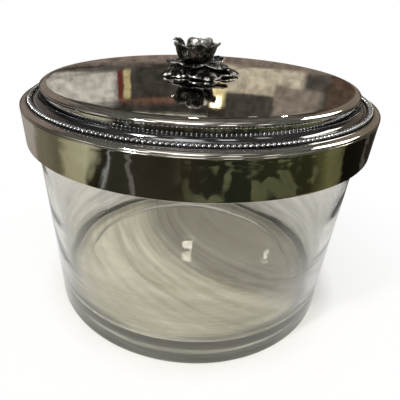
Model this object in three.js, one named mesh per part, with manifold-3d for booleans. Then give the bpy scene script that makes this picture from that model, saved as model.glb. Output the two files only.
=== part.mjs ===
// Round glass biscuit jar with a loose silver-plated lid and a rose finial, in millimetres, +Z up.
//
// The jar is one thick glass vessel that stands on a foot ring. The lid is a pressed cover with a
// shallow dome, a falling rounded edge, a cove and a rounded shoulder. A band under the shoulder hangs
// around the glass, and a wire of small beads lies on the ledge. The rose is a stack of
// leaf and petal rosettes round a bud, held by a stud, a washer and a nut through the dome.
//
// The origin is the centre of the foot, on the surface that the jar stands on.

import * as THREE from "three";
import { mergeVertices } from "three/addons/utils/BufferGeometryUtils.js";
import Module from "manifold-3d";

const wasm = await Module();
wasm.setup();

// Driving sizes
const jarHeight = 113.3;
const lidRadius = 90;
const sheet = 0.9;
const seatGap = 0.3;

// Glass jar
const jar = {
  clearanceInBand: 3.65,
  taper: 2.55,
  flarePower: 1.5,
  wallAtFoot: 4.4,
  wallAtRim: 3.6,
  floor: 11,
  innerCorner: 7.5,
  footEdge: 1.6,
  footRing: 12.9,
  recessDepth: 1,
  recessSlope: 4,
};

// Lid cover
const cover = {
  ledge: 11.7,
  shoulderWidth: 3,
  shoulderHeight: 1.4,
  coveRadius: 2.6,
  ridgeSpace: 1.35,
  ridgeHalfWidth: 0.3,
  ridgeHeight: 0.25,
  edgeHeight: 6.5,
  edgeWidth: 6,
  edgeFall: 1.9,
  edgeReturn: 0.6,
  edgeOverhang: 0.15,
  domeRise: 3.7,
};

// Band that hangs around the glass
const band = { drop: 18.06, draft: 0.23, edgeBreak: 0.3 };

// Beaded wire
const beads = {
  pitch: 2.064,
  inset: 4.6,
  width: 2.1,
  height: 2,
  waistShare: 0.55,
  sectionShares: [
    [-1, 0],
    [0, 1],
    [1, 0],
  ],
};

// Stud, washer and nut
const stud = {
  radius: 1.5,
  belowNut: 1.5,
  intoBud: 3.5,
  pointBreak: 0.4,
};
const washer = { radius: 6.5, thickness: 1, edgeBreak: 0.25 };
const nut = { acrossFlats: 5.5, height: 2.4, edgeBreak: 0.35 };

// Rosette of folded leaves that lies on the dome
const lowerLeaves = {
  hubRadius: 6.2,
  hubThickness: 1.1,
  rootRadius: 4.7,
  reach: 21.5,
  halfWidth: 8.2,
  thickness: 0.9,
  rimThickness: 0.9,
  ridgeRise: 2.9,
  edgeDrop: 3,
  serrationShare: 0.07,
  azimuths: [-148, -74, -10, 62, 134],
  reachShares: [1, 1, 1, 0.93, 0.96],
  tipLiftShares: [-0.02, -0.02, 0, 0, 0],
};

// Turned collar between the two leaf rosettes
const collar = { radius: 4.3, waist: 3.3, height: 2.7 };

// Rosette of flat leaves with nicked edges, under the flower
const upperLeaves = {
  hubRadius: 5.6,
  hubThickness: 0.8,
  rootRadius: 3.2,
  reach: 17.5,
  halfWidth: 6.7,
  thickness: 0.7,
  rimThickness: 1.2,
  ridgeRise: -0.3,
  edgeDrop: -0.7,
  serrationShare: 0.07,
  azimuths: [-112, -34, 36, 104, 172],
  reachShares: [0.76, 1.06, 0.92, 0.95, 0.98],
  tipLiftShares: [0, -0.03, 0.13, 0.03, 0.03],
};

// Open outer petals
const outerPetals = {
  hubRadius: 5,
  hubThickness: 0.8,
  rootRadius: 3,
  reach: 8.1,
  height: 8.9,
  thickness: 0.8,
  halfAngle: 40,
  wholeTurn: 90,
  imbrication: 0.4,
  rimRound: 1.6,
  curl: 0,
  tuck: 0,
  azimuths: [-146, -96, -22, 70, 150],
  heightShares: [1.08, 1.2, 1.12, 1, 1.22],
  openShares: [0, 0, 0.5, 0.3, 0.5],
  reachShares: [1.08, 1.14, 0.8, 1, 1],
  widthShares: [1, 0.62, 0.9, 1, 0.42],
  rimThicknessShares: [1.6, 1.8, 1.4, 1.4, 2],
};

// Closed inner petals
const innerPetals = {
  hubRadius: 4,
  hubThickness: 0.9,
  rootRadius: 2.9,
  reach: 3.6,
  height: 14,
  thickness: 0.8,
  halfAngle: 72,
  wholeTurn: 125,
  imbrication: 0.3,
  rimRound: 2.2,
  curl: 3.3,
  tuck: 5,
  azimuths: [-129, -41, 90],
  heightShares: [1, 1, 0.86],
  openShares: [0, 0, 0],
  reachShares: [1, 1.1, 1],
  widthShares: [0.64, 0.62, 1],
  rimThicknessShares: [1, 1, 1],
};

// Bud at the heart of the rose
const bud = {
  radius: 2.6,
  height: 9,
  topDimple: 0.7,
  lobeShare: 0.12,
  lobes: 3,
  twist: 150,
  boreSpare: 0.7,
};

// How finely the shapes are cut
const turns = 48;
const studTurns = 12;
const hubTurns = 16;
const cornerSteps = 3;
const rimSteps = 4;
const shoulderSteps = 3;
const coveSteps = 2;
const edgeSteps = 4;
const edgeTurn = 75;
const wallSteps = 3;
const domeSteps = 3;
const leafSteps = { along: 6, across: 4 };
const petalSteps = { along: 5, across: 6 };
const budSteps = { around: 15, up: 8 };

// Radii that follow from the sizes
const rimRadius = lidRadius - sheet - jar.clearanceInBand;
const footRadius = rimRadius - jar.taper;
const stepRadius = lidRadius - cover.ledge;
const beadCircle = lidRadius - beads.inset;
const boltHole = stud.radius + seatGap;

// Heights that follow from the sizes. Those of the lid are measured from its seat on the glass rim.
const lidSeat = jarHeight + seatGap;
const lipBottom = sheet - cover.shoulderHeight;
const edgeCentre = {
  r: stepRadius + cover.edgeOverhang - cover.edgeWidth,
  z: sheet + cover.edgeHeight,
};
const domeTop = edgeCentre.z + cover.domeRise;

const radians = THREE.MathUtils.degToRad;
const point = (r, z) => new THREE.Vector2(r, z);

// Points of an arc round (r, z), angles in degrees from the outward direction. With a rise of its
// own the arc is a part of an ellipse.
function arc(r, z, radius, from, to, steps, rise = radius) {
  return Array.from({ length: steps + 1 }, (_, i) => {
    const angle = radians(from + ((to - from) * i) / steps);
    return point(r + radius * Math.cos(angle), z + rise * Math.sin(angle));
  });
}

// Solid turned round the Z axis from a profile of (radius, height) points that closes on itself.
function turned(profile, segments = turns) {
  const closed = profile[0].x === 0 ? profile : [...profile, profile[0].clone()];
  return new THREE.LatheGeometry(closed, segments).rotateX(Math.PI / 2);
}

// The same surface as a solid that can be joined or cut, and back again.
function toSolid(geometry) {
  const bare = geometry.clone().deleteAttribute("normal").deleteAttribute("uv");
  const merged = mergeVertices(bare);
  return new wasm.Manifold(
    new wasm.Mesh({
      numProp: 3,
      vertProperties: merged.attributes.position.array,
      triVerts: new Uint32Array(merged.index.array),
    }),
  );
}

function toGeometry(solid) {
  const mesh = solid.getMesh();
  const geometry = new THREE.BufferGeometry();
  geometry.setAttribute("position", new THREE.BufferAttribute(mesh.vertProperties, 3));
  geometry.setIndex(new THREE.BufferAttribute(mesh.triVerts, 1));
  geometry.computeVertexNormals();
  return geometry;
}

function joined(geometries) {
  return toGeometry(geometries.map(toSolid).reduce((whole, next) => whole.add(next)));
}

// Flat ring with a broken edge, standing on z = 0.
function ring(hole, radius, thickness, edgeBreak) {
  return turned(
    [
      point(hole, 0),
      point(radius - edgeBreak, 0),
      point(radius, edgeBreak),
      point(radius, thickness - edgeBreak),
      point(radius - edgeBreak, thickness),
      point(hole, thickness),
    ],
    hubTurns,
  );
}

// Thin shell along a surface(u, v), u from 0 to 1 and v from -1 to 1. Its thickness changes evenly
// from the root to the rim.
function thinShell(surface, steps, thickness, rimThickness = thickness) {
  const { along, across } = steps;
  const nudge = 1e-3;
  const positions = [];
  const indices = [];
  const columns = across + 1;
  const layer = (along + 1) * columns;
  for (const side of [1, -1]) {
    for (let i = 0; i <= along; i++) {
      for (let j = 0; j <= across; j++) {
        const u = i / along;
        const v = (2 * j) / across - 1;
        const alongU = surface(u + nudge, v).sub(surface(u - nudge, v));
        const alongV = surface(u, v + nudge).sub(surface(u, v - nudge));
        const normal = alongU.cross(alongV).normalize();
        const half = (thickness + (rimThickness - thickness) * u) / 2;
        const p = surface(u, v).addScaledVector(normal, side * half);
        positions.push(p.x, p.y, p.z);
      }
    }
  }
  const quad = (a, b, c, d) => indices.push(a, b, c, a, c, d);
  for (let i = 0; i < along; i++) {
    for (let j = 0; j < across; j++) {
      const a = i * columns + j;
      quad(a, a + columns, a + columns + 1, a + 1);
      quad(layer + a, layer + a + 1, layer + a + columns + 1, layer + a + columns);
    }
  }
  for (let i = 0; i < along; i++) {
    const left = i * columns;
    const right = left + across;
    quad(left, layer + left, layer + left + columns, left + columns);
    quad(right, right + columns, layer + right + columns, layer + right);
  }
  for (let j = 0; j < across; j++) {
    const last = along * columns + j;
    quad(j, j + 1, layer + j + 1, layer + j);
    quad(last, layer + last, layer + last + 1, last + 1);
  }
  const geometry = new THREE.BufferGeometry();
  geometry.setAttribute("position", new THREE.Float32BufferAttribute(positions, 3));
  geometry.setIndex(indices);
  return geometry;
}

// Vessel: recessed foot, flared wall, fire-polished rim and a rounded inner corner.
function glassJar() {
  const outer = (z) =>
    footRadius + (rimRadius - footRadius) * (z / jarHeight) ** jar.flarePower;
  const wall = (z) => jar.wallAtFoot + ((jar.wallAtRim - jar.wallAtFoot) * z) / jarHeight;
  const recessRadius = footRadius - jar.footRing;
  const rimRound = jar.wallAtRim / 2;
  const wallTop = jarHeight - rimRound;
  const cornerTop = jar.floor + jar.innerCorner;
  const cornerCentre = outer(cornerTop) - wall(cornerTop) - jar.innerCorner;
  const heights = (from, to) =>
    Array.from({ length: wallSteps - 1 }, (_, i) => from + ((to - from) * (i + 1)) / wallSteps);
  return turned([
    point(0, jar.recessDepth),
    point(recessRadius - jar.recessSlope, jar.recessDepth),
    point(recessRadius, 0),
    ...arc(footRadius - jar.footEdge, jar.footEdge, jar.footEdge, -90, 0, shoulderSteps),
    ...heights(jar.footEdge, wallTop).map((z) => point(outer(z), z)),
    ...arc(rimRadius - rimRound, wallTop, rimRound, 0, 180, rimSteps),
    ...heights(wallTop, cornerTop).map((z) => point(outer(z) - wall(z), z)),
    ...arc(cornerCentre, cornerTop, jar.innerCorner, 0, -90, cornerSteps),
    point(0, jar.floor),
  ]);
}

// One face of the pressed cover, a given depth below its outer face, from the lip to the bolt hole:
// shoulder, ledge with a ridge on each side of the beads, cove, wall, falling edge and dome. The
// ridges are only on the outer face.
function coverFace(depth) {
  const coveCentre = { r: stepRadius + cover.coveRadius, z: sheet + cover.coveRadius };
  const edge = arc(
    edgeCentre.r,
    edgeCentre.z,
    cover.edgeWidth - depth,
    0,
    edgeTurn,
    edgeSteps,
    cover.edgeFall - depth,
  );
  const joinRadius = edgeCentre.r + cover.edgeWidth * Math.cos(radians(edgeTurn));
  const joinHeight = edgeCentre.z + cover.edgeFall * Math.sin(radians(edgeTurn));
  const sag = domeTop - joinHeight;
  const domeRadius = (joinRadius ** 2 + sag ** 2) / (2 * sag);
  const domeEdge = 90 - THREE.MathUtils.radToDeg(Math.asin(joinRadius / domeRadius));
  const holeEdge = 90 - THREE.MathUtils.radToDeg(Math.asin(boltHole / domeRadius));
  const dome = arc(0, domeTop - domeRadius, domeRadius - depth, domeEdge, holeEdge, domeSteps);
  dome.at(-1).x = boltHole;
  const shoulder = arc(
    lidRadius - cover.shoulderWidth,
    lipBottom,
    cover.shoulderWidth - depth,
    0,
    90,
    shoulderSteps,
    cover.shoulderHeight - depth,
  );
  const ridges = [beadCircle + cover.ridgeSpace, beadCircle - cover.ridgeSpace].flatMap((r) => [
    point(r + cover.ridgeHalfWidth, sheet),
    point(r, sheet + cover.ridgeHeight),
    point(r - cover.ridgeHalfWidth, sheet),
  ]);
  return [
    ...shoulder,
    ...(depth > 0 ? [] : ridges),
    ...arc(coveCentre.r, coveCentre.z, cover.coveRadius + depth, 270, 180, coveSteps),
    point(stepRadius - depth, edgeCentre.z - cover.edgeReturn),
    ...edge,
    ...dome.slice(1),
  ];
}

function lidCover() {
  return turned([...coverFace(0), ...coverFace(sheet).reverse()]);
}

// Band with a slight draft, set under the cover's edge.
function skirtBand() {
  const top = lipBottom - seatGap;
  const bottom = sheet - band.drop;
  const bottomRadius = lidRadius - band.draft;
  return turned([
    point(bottomRadius - band.edgeBreak, bottom),
    point(bottomRadius, bottom + band.edgeBreak),
    point(lidRadius, top),
    point(lidRadius - sheet, top),
    point(bottomRadius - sheet, bottom + band.edgeBreak),
    point(bottomRadius - sheet + band.edgeBreak, bottom),
  ]);
}

// Half-round wire whose section swells and narrows once for each bead.
function beadedWire() {
  const positions = [];
  const indices = [];
  const count = Math.round((2 * Math.PI * beadCircle) / beads.pitch);
  const stations = 2 * count;
  const corners = beads.sectionShares.length;
  for (let i = 0; i < stations; i++) {
    const angle = (2 * Math.PI * i) / stations;
    const swell = i % 2 ? beads.waistShare : 1;
    for (const [across, up] of beads.sectionShares) {
      const r = beadCircle + (across * swell * beads.width) / 2;
      positions.push(r * Math.cos(angle), r * Math.sin(angle), up * swell * beads.height);
    }
    for (let j = 0; j < corners; j++) {
      const a = i * corners + j;
      const b = i * corners + ((j + 1) % corners);
      const c = ((i + 1) % stations) * corners + j;
      const d = ((i + 1) % stations) * corners + ((j + 1) % corners);
      indices.push(a, b, c, b, d, c);
    }
  }
  const geometry = new THREE.BufferGeometry();
  geometry.setAttribute("position", new THREE.Float32BufferAttribute(positions, 3));
  geometry.setIndex(indices);
  return geometry;
}

// Rosette of leaves on a hub. Each leaf is folded along its ridge and has a nicked edge.
function leafRosette(leaf) {
  const leaves = leaf.azimuths.map((azimuth, n) => {
    const reach = leaf.reach * leaf.reachShares[n];
    const length = reach - leaf.rootRadius;
    const surface = (u, v) => {
      const inside = Math.min(Math.max(u, 0), 1);
      const nick = 1 + leaf.serrationShare * Math.cos(Math.PI * leafSteps.along * u);
      const width = nick * Math.sin(Math.PI * (0.06 + 0.86 * inside ** 1.2)) ** 0.8;
      const swell = Math.sin(Math.PI * inside ** 0.9);
      const ridge = leaf.hubThickness / 2 + leaf.ridgeRise * swell;
      const fold = leaf.edgeDrop * Math.abs(v) * width * swell;
      const lift = reach * leaf.tipLiftShares[n] * inside ** 2;
      const along = leaf.rootRadius + length * u * (1 - 0.12 * v * v * u);
      return new THREE.Vector3(along, v * width * leaf.halfWidth, ridge - fold + lift);
    };
    const shell = thinShell(surface, leafSteps, leaf.thickness, leaf.rimThickness);
    return shell.rotateZ(radians(azimuth));
  });
  const hub = ring(boltHole, leaf.hubRadius, leaf.hubThickness, leaf.hubThickness / 4);
  return joined([hub, ...leaves]);
}

// Rosette of cupped petals. A petal leaves the hub level, turns up and ends in a rounded rim. An
// open share of 0 gives an upright wall, and 1 a straight slant. A whole turn over a right angle
// and a curl close the petal over the bud.
function petalRosette(petal) {
  const whole = radians(petal.wholeTurn);
  const petals = petal.azimuths.map((azimuth, n) => {
    const height = petal.height * petal.heightShares[n];
    const reach = petal.reach * petal.reachShares[n];
    const open = petal.openShares[n];
    const surface = (u, v) => {
      const inside = Math.min(Math.max(u, 0), 1);
      const turn = inside * whole;
      const spread = (1 - open) * Math.sin(turn) ** 0.34 + 1.25 * open * inside;
      const close = THREE.MathUtils.smoothstep(inside, 0.55, 1.1);
      const r = petal.rootRadius + reach * spread + petal.imbrication * v * u - petal.curl * close;
      const climb = height * ((1 - Math.cos(turn)) / (1 - Math.cos(whole))) ** 0.85;
      const sink = petal.tuck * THREE.MathUtils.smoothstep(inside, 0.7, 1.05);
      const z = petal.hubThickness / 2 + climb - sink - petal.rimRound * v * v * inside ** 3;
      const fan = Math.sin(Math.PI * (0.2 + 0.5 * u)) ** 0.7;
      const angle = radians(petal.halfAngle * petal.widthShares[n] * fan * v);
      return new THREE.Vector3(r * Math.cos(angle), r * Math.sin(angle), z);
    };
    const rimThickness = petal.thickness * petal.rimThicknessShares[n];
    const shell = thinShell(surface, petalSteps, petal.thickness, rimThickness);
    return shell.rotateZ(radians(azimuth));
  });
  const hub = ring(boltHole, petal.hubRadius, petal.hubThickness, petal.hubThickness / 4);
  return joined([hub, ...petals]);
}

// Bud: a rounded body whose twisted lobes are the wrapped petals, with a blind hole for the stud.
function roseBud() {
  const { around, up } = budSteps;
  const positions = [];
  const indices = [];
  for (let i = 1; i < up; i++) {
    const polar = (Math.PI * i) / up;
    for (let j = 0; j < around; j++) {
      const angle = (2 * Math.PI * j) / around;
      const z = (bud.height * (1 - Math.cos(polar))) / 2;
      const wrap = bud.lobes * (angle - radians(bud.twist) * (z / bud.height));
      const r = bud.radius * Math.sin(polar) ** 0.75 * (1 + bud.lobeShare * Math.cos(wrap));
      positions.push(r * Math.cos(angle), r * Math.sin(angle), z);
    }
  }
  const bottom = (up - 1) * around;
  const top = bottom + 1;
  positions.push(0, 0, 0, 0, 0, bud.height - bud.topDimple);
  for (let j = 0; j < around; j++) {
    const next = (j + 1) % around;
    indices.push(bottom, next, j);
    indices.push(top, (up - 2) * around + j, (up - 2) * around + next);
    for (let i = 0; i < up - 2; i++) {
      const a = i * around;
      indices.push(a + j, a + next, a + around + next, a + j, a + around + next, a + around + j);
    }
  }
  const body = new THREE.BufferGeometry();
  body.setAttribute("position", new THREE.Float32BufferAttribute(positions, 3));
  body.setIndex(indices);
  const boreDepth = stud.intoBud + bud.boreSpare;
  const bore = turned(
    [
      point(0, -boreDepth),
      point(boltHole, -boreDepth),
      point(boltHole, boreDepth),
      point(0, boreDepth),
    ],
    studTurns,
  );
  return toGeometry(toSolid(body).subtract(toSolid(bore)));
}

// Turned collar with a waist, which carries the flower clear of the lower leaves.
function finialCollar() {
  return turned(
    [
      point(boltHole, 0),
      point(collar.radius, 0),
      point(collar.waist, collar.height / 2),
      point(collar.radius, collar.height),
      point(boltHole, collar.height),
    ],
    hubTurns,
  );
}

// Stud with a broken edge at both ends, standing on z = 0.
function finialStud(length) {
  return turned(
    [
      point(0, 0),
      point(stud.radius - stud.pointBreak, 0),
      point(stud.radius, stud.pointBreak),
      point(stud.radius, length - stud.pointBreak),
      point(stud.radius - stud.pointBreak, length),
      point(0, length),
    ],
    studTurns,
  );
}

// Hexagon nut: a prism whose corners are turned off at both faces.
function finialNut() {
  const corner = nut.acrossFlats / 2 / Math.cos(Math.PI / 6);
  const outline = new THREE.Shape(
    Array.from({ length: 6 }, (_, i) => {
      const angle = (Math.PI * i) / 3;
      return new THREE.Vector2(corner * Math.cos(angle), corner * Math.sin(angle));
    }),
  );
  const prism = new THREE.ExtrudeGeometry(outline, { depth: nut.height, bevelEnabled: false });
  const turnedOff = ring(boltHole, corner, nut.height, nut.edgeBreak);
  return toGeometry(toSolid(prism).intersect(toSolid(turnedOff)));
}

const silver = (color, roughness) =>
  new THREE.MeshStandardMaterial({ color, roughness, metalness: 1 });
const glass = () =>
  new THREE.MeshStandardMaterial({
    color: 0xdfe3da,
    roughness: 0.03,
    metalness: 0,
    transparent: true,
    opacity: 0.35,
  });

function piece(name, geometry, material, height = 0) {
  const mesh = new THREE.Mesh(geometry, material);
  mesh.name = name;
  mesh.position.z = height;
  return mesh;
}

// The finial, stacked upwards from the top of the dome, with its fixings below the sheet.
function finial() {
  const group = new THREE.Group();
  let height = seatGap;
  const stack = (name, geometry, material, thickness) => {
    group.add(piece(name, geometry, material, height));
    height += thickness + seatGap;
  };
  stack("lower_leaves", leafRosette(lowerLeaves), silver(0x4c4a48, 0.35), lowerLeaves.hubThickness);
  stack("finial_collar", finialCollar(), silver(0x4a4847, 0.4), collar.height);
  stack("upper_leaves", leafRosette(upperLeaves), silver(0x4f4d4a, 0.35), upperLeaves.hubThickness);
  stack("outer_petals", petalRosette(outerPetals), silver(0x585654, 0.3), outerPetals.hubThickness);
  stack("inner_petals", petalRosette(innerPetals), silver(0x6b6a69, 0.28), innerPetals.hubThickness);
  const budBottom = height;
  group.add(piece("rose_bud", roseBud(), silver(0x747372, 0.28), budBottom));

  const washerTop = -sheet - seatGap;
  const nutTop = washerTop - washer.thickness - seatGap;
  const studBottom = nutTop - nut.height - stud.belowNut;
  const studTop = budBottom + stud.intoBud;
  const washerShape = ring(boltHole, washer.radius, washer.thickness, washer.edgeBreak);
  group.add(piece("finial_washer", washerShape, silver(0x8f8a80, 0.4), washerTop - washer.thickness));
  group.add(piece("finial_nut", finialNut(), silver(0x9a8f78, 0.4), nutTop - nut.height));
  group.add(piece("finial_stud", finialStud(studTop - studBottom), silver(0x9a8f78, 0.4), studBottom));
  group.position.z = domeTop;
  return group;
}

function lid() {
  const group = new THREE.Group();
  group.add(piece("lid_cover", lidCover(), silver(0xb3aca3, 0.14)));
  group.add(piece("skirt_band", skirtBand(), silver(0xa8a390, 0.16)));
  group.add(piece("beaded_wire", beadedWire(), silver(0x8c8883, 0.25), sheet + seatGap));
  group.add(finial());
  group.position.z = lidSeat;
  return group;
}

const biscuitJar = new THREE.Group();
biscuitJar.add(piece("glass_jar", glassJar(), glass()));
biscuitJar.add(lid());

export default biscuitJar;
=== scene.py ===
# Glass biscuit jar with a silver-plated lid and a rose finial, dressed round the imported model.
import math

import bpy
import numpy as np
from mathutils import Matrix, Vector


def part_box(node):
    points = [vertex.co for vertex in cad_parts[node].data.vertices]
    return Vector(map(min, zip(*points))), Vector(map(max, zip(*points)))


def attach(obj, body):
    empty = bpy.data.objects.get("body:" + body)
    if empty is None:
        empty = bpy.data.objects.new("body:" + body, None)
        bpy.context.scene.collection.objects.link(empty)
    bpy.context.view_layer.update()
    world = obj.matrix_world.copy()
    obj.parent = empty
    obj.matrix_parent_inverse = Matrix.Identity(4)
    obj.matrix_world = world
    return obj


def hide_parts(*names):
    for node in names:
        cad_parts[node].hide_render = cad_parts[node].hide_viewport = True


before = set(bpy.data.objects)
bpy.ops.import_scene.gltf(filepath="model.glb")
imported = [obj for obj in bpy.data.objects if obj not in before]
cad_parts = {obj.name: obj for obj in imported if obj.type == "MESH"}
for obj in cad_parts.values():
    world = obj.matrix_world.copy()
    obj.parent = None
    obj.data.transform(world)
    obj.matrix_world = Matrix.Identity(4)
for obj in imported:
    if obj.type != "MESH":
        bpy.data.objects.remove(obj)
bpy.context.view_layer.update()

# Driving sizes, in metres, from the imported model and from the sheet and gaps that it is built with.
# The ledge, the shoulder, the top of the band and the glass rim lie a little higher than there.
mm = 0.001
SHEET = 0.9 * mm
GAP = 0.3 * mm
LID_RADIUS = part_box("lid_cover")[1][0]
JAR_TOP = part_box("glass_jar")[1][2]
RIM_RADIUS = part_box("glass_jar")[1][0]
LEDGE_RAISE = 1.0 * mm
GLASS_TOP = JAR_TOP + LEDGE_RAISE
LID_SEAT = GLASS_TOP + GAP
LEDGE_TOP = LID_SEAT + SHEET
BAND_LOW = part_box("skirt_band")[0][2]
BAND_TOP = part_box("skirt_band")[1][2] + LEDGE_RAISE
DOME_RISE = 9.2 * mm
DOME_TOP = LEDGE_TOP + DOME_RISE
BOLT_HOLE = 1.8 * mm

# Glass
TAPER = 2.55 * mm
FLARE_POWER = 1.5
WALL_AT_FOOT = 4.4 * mm
WALL_AT_RIM = 3.6 * mm
GLASS_FLOOR = 11 * mm
INNER_CORNER = 7.5 * mm
FOOT_EDGE = 1.6 * mm
FOOT_RING = 12.9 * mm
RECESS_DEPTH = 1.0 * mm
RECESS_SLOPE = 4.0 * mm
GLASS_WAVE = 0.1 * mm
JAR_SEGMENTS = 256

# Lid cover and skirt band
LEDGE = 10.0 * mm
SHOULDER_WIDTH = 3.0 * mm
SHOULDER_HEIGHT = 1.4 * mm
COVE_RADIUS = 2.6 * mm
EDGE_WIDTH = 4.6 * mm
EDGE_FALL = 1.9 * mm
EDGE_HEIGHT = 6.0 * mm
EDGE_RETURN = 0.6 * mm
EDGE_OVERHANG = 0.15 * mm
EDGE_TURN = 75
RIDGE_HEIGHT = 0.45 * mm
RIDGE_WIDTH = 0.3 * mm
RIDGE_SPACE = 1.75 * mm
BAND_DRAFT = 0.23 * mm
BAND_BREAK = 0.3 * mm
COVER_WAVE = 0.05 * mm
BAND_WAVE = 0.1 * mm
COVER_SEGMENTS = 288
BAND_SEGMENTS = 384

# Beaded wire
BEAD_COUNT = 260
BEAD_INSET = 4.7 * mm
BEAD_WIDTH = 2.8 * mm
BEAD_HEIGHT = 1.5 * mm

# Rose: each rosette lies on the one below with a small gap. A grid is rows from root to rim by
# columns from side to side.
LOWER_HUB = 1.1 * mm
COLLAR_HEIGHT = 2.7 * mm
UPPER_HUB = 0.8 * mm
OUTER_HUB = 0.8 * mm
INNER_HUB = 0.9 * mm
LOWER_BASE = DOME_TOP + GAP
UPPER_BASE = LOWER_BASE + LOWER_HUB + COLLAR_HEIGHT + 2 * GAP
OUTER_BASE = UPPER_BASE + UPPER_HUB + GAP
INNER_BASE = OUTER_BASE + OUTER_HUB + GAP
BUD_BASE = INNER_BASE + INNER_HUB + GAP
HUB_SEGMENTS = 48
LEAF_GRID = (46, 41)
PETAL_GRID = (40, 45)

# Camera: distance from the axis and height over the solid's rim in lid radii, angles in degrees,
# shift and focal length as shares of the frame, and the sensor's width in millimetres
CAMERA_DISTANCE = 2.2685
CAMERA_HEIGHT = 0.5285
CAMERA_PITCH = 29.75
CAMERA_YAW = -3.13
CAMERA_ROLL = 1.49
CAMERA_SHIFT = (0.0670, 0.0124)
FOCAL_SHARE = 369.9 / 400
SENSOR = 36.0

# Studio, in metres, and the strength of the world's light
FLOOR_RADIUS = 4.0
SHADOW_MIDDLE = (0.82 * LID_RADIUS, 0.82 * LID_RADIUS)
TENT_RADIUS = 1.6
TABLE_RINGS = (0.115, 0.25, 1.55)
STUDIO_SEGMENTS = 96
WORLD_LIGHT = 0.62


# Mesh building


def smooth(x, low, high):
    """0 below low, 1 above high, and an S curve between them."""
    t = np.clip((x - low) / (high - low), 0, 1)
    return t * t * (3 - 2 * t)


def full_turn(count):
    """Even angles of one turn, without its end."""
    return np.linspace(0, 2 * np.pi, count, endpoint=False)


def round_axis(r, angle, z):
    """Points round Z: x = r cos a, y = r sin a, z = height."""
    return np.stack(np.broadcast_arrays(r * np.cos(angle), r * np.sin(angle), z), axis=-1)


def ripples(angle, along, count, seed):
    """Sum of slow sine waves round the axis and along the profile, from -1 to 1."""
    draw = np.random.default_rng(seed)
    total = np.zeros(np.broadcast(angle, along).shape)
    for _ in range(count):
        turns, waves = draw.integers(1, 9), draw.uniform(0.3, 2.5)
        phase, lean = draw.uniform(0, 2 * np.pi, 2)
        total += np.sin(turns * angle + phase) * np.sin(waves * np.pi * along + lean)
    return total / count


def make_object(name, points, faces, mat, crest=None, tarnish_and_painted_shade=None):
    """A smooth-shaded mesh object at the origin.

    faces is a list of arrays, each with one row of point numbers per face. crest and the last
    argument are 0 to 1 values per point, for worn edges and for painted shade in dark hollows.
    """
    mesh = bpy.data.meshes.new(name)
    corners = [face for group in faces for face in group.tolist()]
    mesh.from_pydata(points.reshape(-1, 3).tolist(), [], corners)
    mesh.polygons.foreach_set("use_smooth", np.ones(len(mesh.polygons), dtype=bool))
    for layer_name, values in (("crest", crest), ("tarnish_and_painted_shade", tarnish_and_painted_shade)):
        if values is not None:
            layer = mesh.attributes.new(layer_name, "FLOAT", "POINT")
            layer.data.foreach_set("value", np.ascontiguousarray(values, dtype=np.float32))
    mesh.update()
    mesh.validate()
    piece = bpy.data.objects.new(name, mesh)
    bpy.context.scene.collection.objects.link(piece)
    mesh.materials.append(mat)
    return piece


def grid_faces(rows, columns, wrap_rows=False, wrap_columns=False):
    """Quads of a grid of points numbered row by row."""
    i = np.arange(rows if wrap_rows else rows - 1)[:, None]
    j = np.arange(columns if wrap_columns else columns - 1)[None, :]
    i2, j2 = (i + 1) % rows, (j + 1) % columns
    corners = [i * columns + j, i2 * columns + j, i2 * columns + j2, i * columns + j2]
    return np.stack([c.ravel() for c in np.broadcast_arrays(*corners)], axis=1)


def tip_faces(tip, rim):
    """Triangles between a tip and each pair of neighbours in a closed row of points."""
    return np.stack([np.full(len(rim), tip), rim, np.roll(rim, -1)], axis=1)


def arc(r, z, radius_r, radius_z, start, end, count):
    """Points of an elliptical arc round (r, z), angles in degrees from the outward direction."""
    angle = np.radians(np.linspace(start, end, count))
    return np.stack([r + radius_r * np.cos(angle), z + radius_z * np.sin(angle)], axis=1)


def line(start, end, count):
    """Points from start to end, without the two ends."""
    t = np.linspace(0, 1, count + 2)[1:-1, None]
    return np.asarray(start) * (1 - t) + np.asarray(end) * t


def lathe(name, profile, segments, mat, closed, wobble, tarnish_and_painted_shade=None):
    """Turns a profile of (radius, height) rows round Z: x = r cos a, y = r sin a, z = height.

    A closed profile is a ring. An open one starts and ends on the axis, where single points close
    it. wobble(angle, share) gives small changes (dr, dz) for the share along the profile. The last
    argument is painted shade, a value per row of a closed profile.
    """
    ring = profile if closed else profile[1:-1]
    angle = full_turn(segments)[:, None]
    dr, dz = wobble(angle, np.linspace(0, 1, len(ring))[None, :])
    points = round_axis(ring[:, 0] + dr, angle, ring[:, 1] + dz).reshape(-1, 3)
    faces = [grid_faces(segments, len(ring), wrap_rows=True, wrap_columns=closed)]
    if not closed:
        first = np.arange(segments) * len(ring)
        last = first + len(ring) - 1
        faces += [tip_faces(len(points), first[::-1]), tip_faces(len(points) + 1, last)]
        points = np.vstack([points, [[0, 0, profile[0][1]], [0, 0, profile[-1][1]]]])
    dark = None if tarnish_and_painted_shade is None else np.tile(tarnish_and_painted_shade, segments)
    return make_object(name, points, faces, mat, tarnish_and_painted_shade=dark)


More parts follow.
